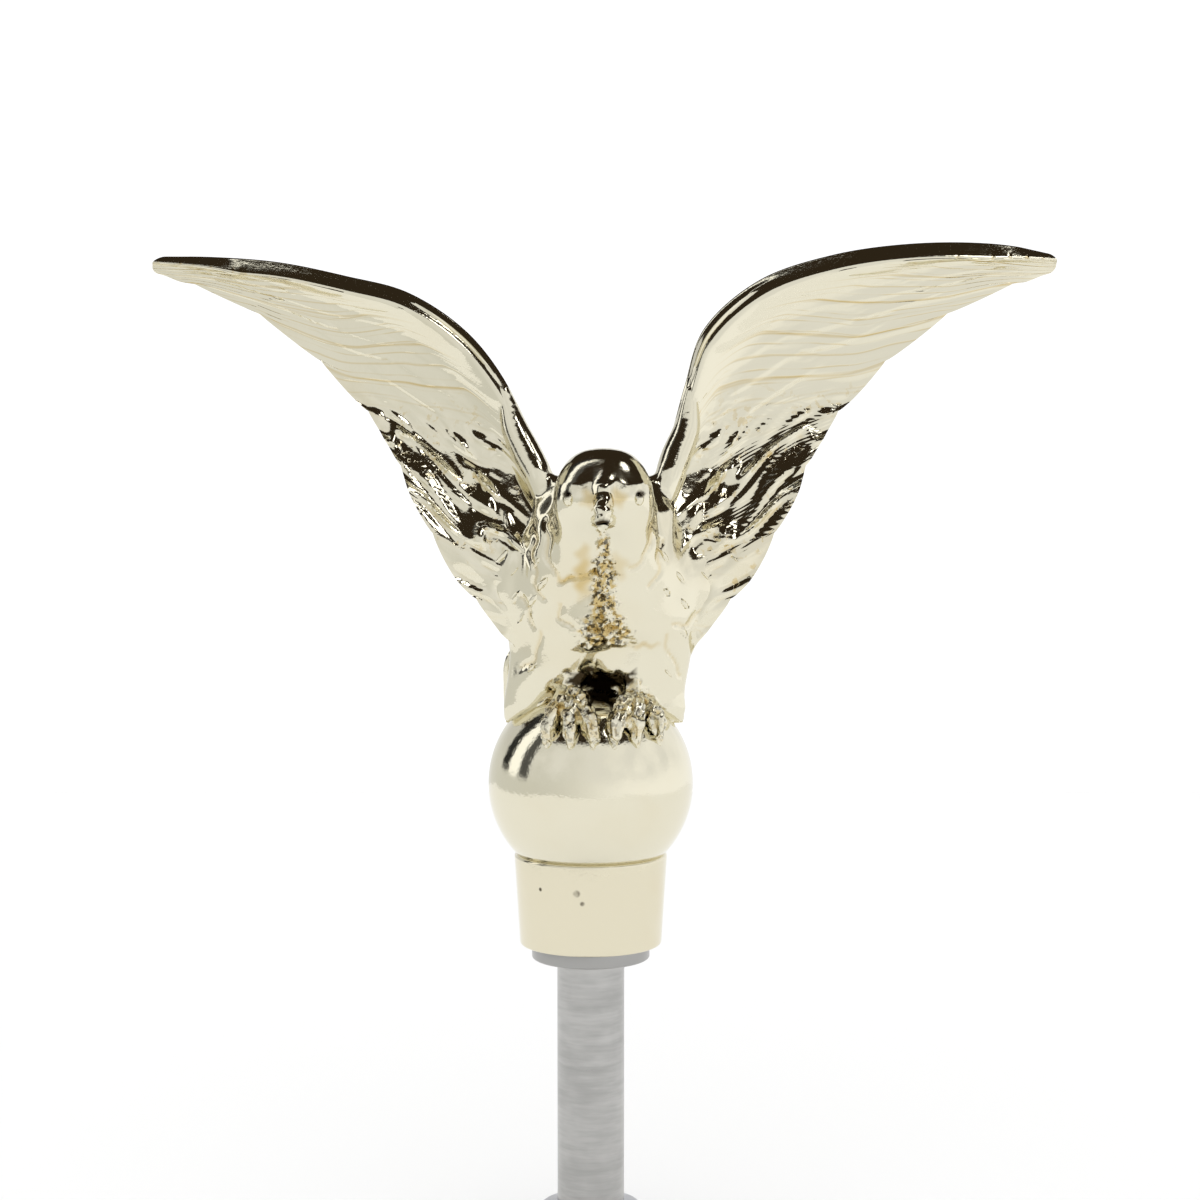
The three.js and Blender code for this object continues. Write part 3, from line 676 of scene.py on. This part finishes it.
def featherLines(places):  # thin lines between the vanes, painted darker as shade along their edges, and the barbs slanting from their shafts
    vane = attributeWire(places, "vane")
    line = attributeWire(places, "quillLine")
    part = attributeWire(places, "quillPart")
    line = line + (noise(places, 55, 2) - 0.5) * vanes["wander"]
    side = line.maths("FRACT")
    seam = (side - 0.5).maths("ABSOLUTE").ramp(vanes["edge"], 0.5)
    strayed = line + (noise(places, 38, 2) - 0.5) * vanes["wander"] * 2
    between = ((strayed * 2).maths("FRACT") - 0.5).maths("ABSOLUTE").ramp(vanes["edge"] - 0.02, 0.5)
    thirds = ((strayed * 3.4).maths("FRACT") - 0.5).maths("ABSOLUTE").ramp(vanes["edge"] - 0.06, 0.5)
    patchy = noise(places, 120, 2).ramp(0.4, 0.6)
    ruffled = noise(places, 75, 2).ramp(0.5, 0.62)
    feathered = (1 - line.ramp(5.0, 6.2)) * line.ramp(0.5, 2.0)
    lines = seam * 0.9 + between * (patchy * 0.7 + 0.3) + thirds * (1.2 - patchy) * 0.8
    lines = lines * part.ramp(0.15, 0.3) * vane * (1 - feathered * 0.9)
    inner = feathered * part.ramp(0.25, 0.5)
    phase = (side - vanes["shaft"]).maths("ABSOLUTE") * vanes["barbsAcross"] - part * vanes["barbsAlong"]
    barbs = phase.maths("SINE") * vane * (inner * ruffled + 0.04)
    stains = noise(places, 800, 2).ramp(0.56, 0.64) * noise(places, 160, 2).ramp(0.48, 0.58)
    return lines + stains * feathered * vane, barbs


def giltCasting():
    material, shader, places = newMaterial("pale gilt plating")
    names = ("hollow", "groove", "stripe", "crease", "goldReflection", "paintedDarkShare")
    hollow, groove, stripe, crease, goldReflection, paintedDarkShare = (attributeWire(places, name) for name in names)
    cloud = noise(places, gilt["cloudScale"], 3)
    # dark specks painted on the rough stripe and the feet, standing in for dark reflections in the rough
    # casting
    specks = noise(places, gilt["speckScale"], 2).ramp(0.54, 0.6) * stripe * 0.85
    paintedDarkShare = paintedDarkShare.maths("MAXIMUM", specks)
    lines, barbs = featherLines(places)
    grain = noise(places, gilt["grainScale"], 2).ramp(0.38, 0.6)
    # painted shade and reflection: hollows and grooves are coloured deeper gold; the stripe's grain and the
    # cloud add tone
    sunk = (hollow * 0.5 + groove * 0.4 + stripe * grain + (cloud - 0.5) * 0.2).ramp(0.15, 1.0)
    ferrule = 1 - places.part(2).ramp((ferruleTop - 0.3) * mm, (ferruleTop + 0.3) * mm)
    patches = noise(places, gilt["patchScale"], 3).ramp(0.5, 0.72)
    # deeper gold from painted shade along feather lines and creases and painted reflection in the gold
    # patches, with real tone on the ferrule and in random patches
    deep = sunk + ferrule * 0.12 + lines * 0.52 + crease * 0.4 + goldReflection * 0.9 + patches * 0.12
    plated = deep.blend(gilt["pale"], gilt["deep"])
    for spot, radius in castingPits:
        spot = [v * mm for v in spot]
        away = places.node("ShaderNodeVectorMath", {"operation": "DISTANCE"}, i0=places, i1=spot)
        near = 1 - Wire(places.tree, away.outputs["Value"]).ramp(radius * 0.4 * mm, radius * mm)
        paintedDarkShare = paintedDarkShare.maths("MAXIMUM", near * cloud.ramp(0.35, 0.6))
    # near-black painted as shade in the belly recess, on the eye lids and along the mouth, and as dark specks
    # and small pits
    places.tree.links.new(paintedDarkShare.blend(plated, gilt["paintedDark"]).socket, shader.inputs["Base Color"])
    rough = gilt["roughness"] + cloud * 0.03 + deep * 0.06
    places.tree.links.new(rough.socket, shader.inputs["Roughness"])
    shader.inputs["Metallic"].default_value = 1
    fine = noise(places, gilt["fineScale"], 3, 0.6)
    rugged = noise(places, gilt["ruggedScale"], 4, 0.7)
    height = fine * gilt["fine"] + rugged * stripe * gilt["rugged"]
    height = height + barbs * gilt["barbs"] - lines * gilt["lines"]
    bump = places.node("ShaderNodeBump", None, Strength=1.0, Distance=gilt["bump"], Height=height)
    places.tree.links.new(bump.outputs[0], shader.inputs["Normal"])
    return material


# aluminium: the flange is painted darker than the rod below it, as painted shade
aluminium = {
    "spindle": (0.52, 0.515, 0.5), "collar": (0.8, 0.81, 0.84), "roughness": 0.25, "darkest": 0.73,
    "drawnScale": 900, "drawnStretch": (0.12, 0.12, 1), "stainedScale": 90, "flangeShade": 1.6,
}


def turnedAluminium(name, colour):
    material, shader, places = newMaterial(name)
    drawn = noise(places, aluminium["drawnScale"], 3, 0.6, aluminium["drawnStretch"])
    stained = noise(places, aluminium["stainedScale"], 3, 0.6)
    # painted shade: the flange is coloured darker than the rod
    flange = places.part(2).ramp(flangeFoot * mm, (flangeFoot + 0.3) * mm)
    tone = (drawn * 0.5 + stained * 0.5).ramp(0.3, 0.7) - flange * aluminium["flangeShade"]
    shade = tone.blend([c * aluminium["darkest"] for c in colour], colour)
    places.tree.links.new(shade.socket, shader.inputs["Base Color"])
    places.tree.links.new((aluminium["roughness"] + drawn * 0.1).socket, shader.inputs["Roughness"])
    shader.inputs["Metallic"].default_value = 1
    bump = places.node("ShaderNodeBump", None, Strength=0.1, Distance=0.0002, Height=drawn)
    places.tree.links.new(bump.outputs[0], shader.inputs["Normal"])
    return material


def finished(thing, material, node, angle=35):
    thing.data.materials.clear()
    thing.data.materials.append(material)
    thing.data.polygons.foreach_set("use_smooth", [True] * len(thing.data.polygons))
    thing.data.polygons.foreach_set("material_index", [0] * len(thing.data.polygons))
    thing.data.set_sharp_from_angle(angle=math.radians(angle))
    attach(thing, "root")
    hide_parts(node)


def depthBelow(mesh, points, rounds):  # how far each point lies under the smoothed skin round it
    normals = np.empty(len(mesh.vertices) * 3)
    mesh.vertices.foreach_get("normal", normals)
    mean, soft = neighbourMean(mesh), points
    for step in range(rounds):
        soft = soft * 0.4 + mean(soft) * 0.6
    return np.einsum("ij,ij->i", soft - points, normals.reshape(-1, 3))


def mark(thing, name, values, most=1):
    layer = thing.data.attributes.new(name, "FLOAT", "POINT")
    layer.data.foreach_set("value", clamp(values, 0, most).astype(np.float32))


def stripeShare(points):  # the rough stripe down the breast, wider below
    x = np.abs(points[:, 0] - bird["offset"]) / unit
    z = (points[:, 2] - ballTop) / unit
    width = 1.4 + 1.6 * smooth(32, 25, z) + 3.4 * smooth(19, 12, z)
    ragged = 1 + 0.16 * np.sin(z * 1.9) + 0.14 * np.sin(z * 4.7 + x)
    down = smooth(width * 1.1, width * 0.6, x * ragged) * smooth(36, 33, z) * smooth(8.5, 10, z)
    return down * (points[:, 1] < -8)


# painted reflection: soft gold patches beside the beak and the stripe: right, up, half width, half height,
# strength
goldReflectionPatches = [
    (-3.2, 43, 2.2, 2.4, 0.8), (3.1, 43, 2.2, 2.4, 0.8), (-4.6, 25.4, 2.2, 6, 0.9),
    (-7.4, 24.6, 3.4, 1.1, 0.8), (3.2, 27.5, 2.4, 3.6, 0.5), (-4.4, 30.5, 2, 2.4, 0.6),
    (-11.4, -4.2, 3.4, 1.6, 0.5), (9.2, 9.4, 4, 0.8, 0.6),
]


def goldReflectionShare(points):
    x, y, z = birdPlaces(points)
    goldReflection = np.zeros(len(points))
    for right, up, wide, high, strength in goldReflectionPatches:
        off = np.hypot((x - right + 0.5 * np.sin(z * 1.7)) / wide, (z - up + 0.4 * np.sin(x * 1.9)) / high)
        goldReflection = np.maximum(goldReflection, strength * smooth(1.2, 0.3, off))
    return goldReflection * (y < -8)


def pitShare(points):  # the recess under the belly, between the legs, painted near-black as shade
    x, y, z = birdPlaces(points)
    width = 3 + 4.4 * smooth(-1, 1.2, z) + 0.6 * np.sin(z * 2.3) + 0.5 * np.sin(z * 5.1 + x)
    low = 4 - 1.2 * np.abs(np.sin(x * 0.8 + 0.6))
    inside = smooth(width + 0.4, width - 0.4, np.abs(x + 0.5)) * smooth(low + 0.4, low - 0.4, z)
    return inside * smooth(-9, -8, z) * smooth(-13.5, -12.5, y) * smooth(6, 4, y)


# creases of the neck and breast seen from the front: right and up on the bird
creases = [
    [(-12.4, 37.4), (-12.9, 32.5), (-11.7, 27.6), (-9.5, 24.2), (-6.8, 25), (-3.4, 26.2)],
    [(11.3, 36.9), (10.1, 33.5), (8.9, 29.1), (5.4, 27.4)],
    [(-15.4, 37.4), (-15.9, 30.6), (-15.1, 23.7), (-13.7, 19.8)],
    [(-10.2, 19.3), (-9.5, 15.9), (-6.8, 13.7)], [(12.8, 33.5), (12.3, 27.7), (10.5, 22.8)],
    [(-14.7, 12.5), (-14.2, 9.5), (-15.9, 6.1), (-19, 3.7)],
    [(13.7, 12), (14.5, 9), (15.7, 5.1), (17.6, 2.2)],
    [(15.7, 13.9), (19.1, 14.4), (22, 16.4)], [(-19, 19.8), (-16.6, 17.4), (-15.9, 13.9)],
]


def creaseShare(points, width):
    x, y, z = birdPlaces(points)
    here = np.stack([x + 0.5 * np.sin(z * 0.9), z + 0.4 * np.sin(x * 1.1)], axis=-1)
    away = np.full(len(points), 99.0)
    for path in creases:
        for a, b in zip(np.array(path[:-1]), np.array(path[1:])):
            share = clamp(((here - a) @ (b - a)) / ((b - a) @ (b - a)), 0, 1)
            away = np.minimum(away, np.linalg.norm(here - a - share[:, None] * (b - a), axis=1))
    return smooth(width, 0, away) * smooth(2, 0, y)


def faceShare(points):  # painted shade: dark lids over the eyes and along the line of the mouth
    x, y, z = birdPlaces(points)
    lid = smooth(1.2, 0.6, np.hypot((np.abs(x) - 8.1) / 1.1, (z - 43.9) / 0.8))
    mouth = smooth(0.75, 0.4, np.abs(z - 38.3 + 0.4 * np.abs(x))) * smooth(2.2, 1.6, np.abs(x)) * (y < -28)
    return np.maximum(lid, mouth) * (y < -19)


def footShare(points):  # toes and legs, clear of the ball
    x, y, z = birdPlaces(points)
    proud = np.linalg.norm(points - (0, 0, ballCentre), axis=1) - ballSizes["ballRadius"]
    top = 3 - 1.3 * np.maximum(0, np.abs(x) - 8)
    here = smooth(15.5, 14.5, np.abs(x)) * smooth(top, top - 2, z) * smooth(-18, -16.5, z)
    return here * smooth(-8, -9.5, y) * smooth(0.1, 0.6, proud)


def waves(points, seed, longest, shortest):  # a fixed sum of waves; lengths in millimetres
    grain = np.zeros(len(points))
    spin = np.random.default_rng(seed)
    for wave in range(26):
        way = spin.normal(size=3)
        pace = 2 * math.pi / spin.uniform(shortest, longest)
        grain += np.sin(points @ (way / np.linalg.norm(way)) * pace + spin.uniform(0, 6.3))
    return grain / math.sqrt(13)


# depths of the cast grain and folds: millimetres
relief = {"stripe": 0.4, "feet": 0.2, "beak": 0.12, "breast": 0.3, "crease": 0.42}


def roughened(thing):
    points = pointsOf(thing.data)
    x, y, z = birdPlaces(points)
    normals = np.empty(len(points) * 3)
    thing.data.vertices.foreach_get("normal", normals)
    breast = smooth(44, 38, z) * smooth(-8, -4, z) * smooth(0, -3, y) * smooth(24, 20, np.abs(x))
    breast *= (1 - pitShare(points)) * (1 - footShare(points))
    lift = waves(points, 7, 2.8, 1.2) * relief["stripe"] * stripeShare(points)
    lift += waves(points * (1, 1, 0.4), 11, 2.6, 1.3) * relief["feet"] * footShare(points)
    beak = smooth(4.2, 3, np.abs(x)) * smooth(-25.5, -27, y) * smooth(44, 42, z) * smooth(34, 35, z)
    lift += waves(points, 13, 2.4, 1.2) * relief["beak"] * beak
    lift += waves(points * (1, 1, 0.6), 5, 13, 6) * relief["breast"] * breast
    lift -= relief["crease"] * creaseShare(points, 1.1) * breast
    setPoints(thing.data, points + lift[:, None] * normals.reshape(-1, 3))


def featherPlaces(points):  # quill line, share of the way to the trailing edge, and whether on a wing at all
    places, lines, parts = (np.concatenate(group) for group in zip(*wingPlaces))
    tree = KDTree(len(places))
    for index, place in enumerate(places):
        tree.insert(place, index)
    tree.balance()
    found = [tree.find(point) for point in points]
    nearest = np.array([index for _, index, _ in found])
    away = np.array([distance for _, _, distance in found])
    return lines[nearest], parts[nearest], smooth(0.3, 0.05, away)


# small feathers strewn over the flanks and the lower wings: millimetres
tuft = {"spacing": 3.9, "wide": 0.34, "long": 1.9, "thick": 0.62, "shortest": 0.35, "longest": 1.0, "seed": 4,
        "perSquareMetre": 2e5, "segments": 8, "rings": 5}


def tuftShare(points):
    x, y, z = birdPlaces(points)
    edge = np.interp(z, [0, 11.5, 24.8, 33], [18.5, 20.5, 29.5, 34]) - 1.5
    flank = smooth(11.5, 13.5, np.abs(x)) * smooth(edge, edge - 1, np.abs(x)) * (y < 3)
    return flank * smooth(-5, -3, z) * smooth(33, 29, z) * (1 - footShare(points))


def tuftTree():
    tree = bpy.data.node_groups.new("small feathers", "GeometryNodeTree")
    sockets = [("Geometry", "NodeSocketGeometry"), ("Spacing", "NodeSocketFloat"),
               ("Size", "NodeSocketVector"), ("Seed", "NodeSocketInt"), ("Material", "NodeSocketMaterial")]
    for name, kind in sockets:
        tree.interface.new_socket(name, in_out="INPUT", socket_type=kind)
    tree.interface.new_socket("Geometry", in_out="OUTPUT", socket_type="NodeSocketGeometry")
    entry = tree.nodes.new("NodeGroupInput")
    given = {name: Wire(tree, entry.outputs[name]) for name, kind in sockets}
    skin = given["Geometry"]
    share = skin.node("GeometryNodeInputNamedAttribute", {"data_type": "FLOAT"}, Name="tuft")
    spread = skin.node("GeometryNodeDistributePointsOnFaces", {"distribute_method": "POISSON"}, Mesh=skin,
                       Distance_Min=given["Spacing"], Density_Max=tuft["perSquareMetre"], Seed=given["Seed"],
                       Density_Factor=Wire(tree, share.outputs["Attribute"]))
    where = skin.node("GeometryNodeInputPosition")
    outward = (Wire(tree, where.outputs[0]).part(0) - bird["offset"] * mm).maths("SIGN")
    aim = skin.node("ShaderNodeCombineXYZ", None, X=outward * 0.7, Z=-0.7)
    facing = skin.node("FunctionNodeAlignRotationToVector", {"axis": "Z"},
                       Vector=Wire(tree, spread.outputs["Normal"]))
    turned = skin.node("FunctionNodeAlignRotationToVector", {"axis": "Y", "pivot_axis": "Z"},
                       Rotation=Wire(tree, facing.outputs[0]), Vector=Wire(tree, aim.outputs[0]))
    ball = skin.node("GeometryNodeMeshUVSphere", None, Radius=mm,
                     Segments=tuft["segments"], Rings=tuft["rings"])
    leaf = skin.node("GeometryNodeTransform", None, Geometry=Wire(tree, ball.outputs[0]), Scale=given["Size"])
    grown = skin.node("FunctionNodeRandomValue", {"data_type": "FLOAT"},
                      i2=tuft["shortest"], i3=tuft["longest"])
    strewn = skin.node("GeometryNodeInstanceOnPoints", None, Points=Wire(tree, spread.outputs["Points"]),
                       Instance=Wire(tree, leaf.outputs[0]), Rotation=Wire(tree, turned.outputs[0]),
                       Scale=Wire(tree, grown.outputs[1]))
    real = skin.node("GeometryNodeRealizeInstances", None, Geometry=Wire(tree, strewn.outputs[0]))
    coated = skin.node("GeometryNodeSetMaterial", None, Geometry=Wire(tree, real.outputs[0]),
                       Material=given["Material"])
    done = tree.nodes.new("NodeGroupOutput")
    tree.links.new(coated.outputs[0], done.inputs[0])
    return tree


def tufts(thing, material):
    mark(thing, "tuft", tuftShare(pointsOf(thing.data)))
    holder = bpy.data.objects.new("tufts", thing.data.copy())
    bpy.context.scene.collection.objects.link(holder)
    tree = tuftTree()
    sown = holder.modifiers.new("small feathers", "NODES")
    sown.node_group = tree
    sizes = {"Spacing": tuft["spacing"] * mm, "Size": (tuft["wide"], tuft["long"], tuft["thick"]),
             "Seed": tuft["seed"], "Material": material}
    for item in tree.interface.items_tree:
        if item.in_out == "INPUT" and item.name in sizes:
            sown[item.identifier] = sizes[item.name]
    bake(holder)
    print("small feathers", len(holder.data.vertices) // (tuft["segments"] * (tuft["rings"] - 1) + 2))
    return holder


def markSkin(thing):
    points = pointsOf(thing.data)
    line, part, vane = featherPlaces(points)
    mark(thing, "quillLine", line, 20)
    mark(thing, "quillPart", part)
    mark(thing, "vane", vane * smooth(0.08, 0.16, part))
    x, y, z = birdPlaces(points)
    smoothFlank = smooth(26, 22, np.abs(x)) * smooth(50, 44, z) * smooth(6, 3, y)
    cast = smooth(-13, -11, z)  # the turned ball and ferrule keep one even tone
    # how deep each point lies in a hollow or groove, used for painted shade in the plating
    mark(thing, "hollow", depthBelow(thing.data, points, 14) / 0.6 * cast * (1 - 0.85 * smoothFlank))
    mark(thing, "groove", depthBelow(thing.data, points, 3) / 0.1 * cast * (1 - 0.6 * smoothFlank))
    mark(thing, "stripe", np.maximum(stripeShare(points), 0.5 * footShare(points)))
    # painted shade: near-black in the belly recess, on the eye lids and along the mouth
    mark(thing, "paintedDarkShare", np.maximum(pitShare(points), faceShare(points)))
    # the creases are painted deeper gold as shade, besides being pressed in
    mark(thing, "crease", creaseShare(points, 0.6))
    # gold patches painted as reflection
    mark(thing, "goldReflection", goldReflectionShare(points))


print("strewing small feathers over the flanks")
plating = giltCasting()
eagle = joined(eagle, [tufts(eagle, plating)])
roughened(eagle)
markSkin(eagle)
print("finishing the pieces")
finished(eagle, plating, "eagle")
finished(spindle, turnedAluminium("turned aluminium", aluminium["spindle"]), "spindle")
finished(collar, turnedAluminium("pale aluminium", aluminium["collar"]), "foot_collar")


# studio: white walls, a dark ceiling over the bird, and a pale floor
studio = {
    "eye": (1.75, -452.7, 156.6), "pitch": 4.35, "lens": 72.6, "sensor": 36,
    "floorSize": 1100, "ceiling": (0.032, 0.023, 0.014), "ceilingFrom": 0.6, "ceilingLean": 0.24,
    "left": (0.72, 0.725, 0.71), "right": (1.08, 1.08, 1.09), "low": 1.04, "high": 0.97,
    "soft": (0.9, 0.905, 0.92), "dimSide": 0.68, "plain": (1.12, 1.12, 1.13, 1),
}
# lamps and dark stands seen in the plating: direction, width and height in degrees, brightness
lamps = [((0.34, -0.36, 0.87), 5.5, 4.0), ((0.17, -0.62, 0.76), 3.5, 3.0), ((0.44, 0.0, 0.9), 4, 3.0)]
stands = [(-64, 7, 0.03), (-80, 8, 1.3), (-97, 7, 0.1)]  # bearing, half width, shade


def studioWorld():
    world = bpy.data.worlds.new("studio")
    world.use_nodes = True
    world.cycles.sampling_method = "NONE"
    tree = world.node_tree
    tree.nodes.clear()
    output = tree.nodes.new("ShaderNodeOutputWorld")
    seen, plain = tree.nodes.new("ShaderNodeBackground"), tree.nodes.new("ShaderNodeBackground")
    mix = tree.nodes.new("ShaderNodeMixShader")
    rays = tree.nodes.new("ShaderNodeLightPath")
    direction = Wire(tree, tree.nodes.new("ShaderNodeTexCoord").outputs["Generated"])
    right, ahead, up = (direction.part(k) for k in range(3))
    over = (up + ahead * studio["ceilingLean"]).ramp(studio["ceilingFrom"], studio["ceilingFrom"] + 0.05)
    bearing = right.maths("ARCTAN2", ahead) * (180 / math.pi)
    walls = up.ramp(0, 0.6).blend((studio["low"],) * 3, (studio["high"],) * 3)
    across = right.ramp(-1, 1).blend(studio["left"], studio["right"])
    tinted = direction.node("ShaderNodeVectorMath", {"operation": "MULTIPLY"}, i0=walls, i1=across)
    soft = noise(direction, 2.6, 2).ramp(0.28, 0.72)
    walls = (soft * up.ramp(-0.05, 0.3)).blend(Wire(tree, tinted.outputs[0]), studio["soft"])
    dimSide = bearing.ramp(-108, -70) * (1 - bearing.ramp(-36, -8)) * up.ramp(-0.05, 0.35)
    walls = dimSide.blend(walls, (studio["dimSide"],) * 3)
    shade = over.blend(walls, studio["ceiling"])
    for azimuth, half, dark in stands:
        away = (bearing - azimuth).maths("ABSOLUTE")
        on = (1 - away.ramp(half - 1, half + 1)) * up.ramp(0.02, 0.14)
        shade = on.blend(shade, (dark,) * 3)
    for aim, radius, power in lamps:
        facing = direction.node("ShaderNodeVectorMath", {"operation": "DOT_PRODUCT"}, i0=direction, i1=aim)
        edge = math.cos(math.radians(radius))
        near = Wire(tree, facing.outputs["Value"]).ramp(edge - 0.004, edge + 0.002)
        shade = near.blend(shade, (power,) * 3)
    tree.links.new(shade.socket, seen.inputs[0])
    plain.inputs[0].default_value = studio["plain"]
    tree.links.new(rays.outputs["Is Glossy Ray"], mix.inputs[0])
    tree.links.new(plain.outputs[0], mix.inputs[1])
    tree.links.new(seen.outputs[0], mix.inputs[2])
    tree.links.new(mix.outputs[0], output.inputs[0])
    return world


print("lighting the studio")
scene = bpy.context.scene
scene.world = studioWorld()
scene.view_settings.view_transform = "Standard"
eye = bpy.data.cameras.new("camera")
eye.lens = studio["lens"]
eye.sensor_width = studio["sensor"]
camera = bpy.data.objects.new("camera", eye)
scene.collection.objects.link(camera)
camera.location = [v * mm for v in studio["eye"]]
camera.rotation_euler = (math.radians(90 - studio["pitch"]), 0, 0)
scene.camera = camera

half = studio["floorSize"] / 2
corners = [(-half, -half, 0), (half, -half, 0), (half, half, 0), (-half, half, 0)]
floor = meshObject("floor", corners, [(0, 1, 2, 3)])
pale, floorShader, _ = newMaterial("pale floor")
floorShader.inputs["Base Color"].default_value = (0.93, 0.93, 0.92, 1)
floorShader.inputs["Roughness"].default_value = 0.9
floor.data.materials.append(pale)
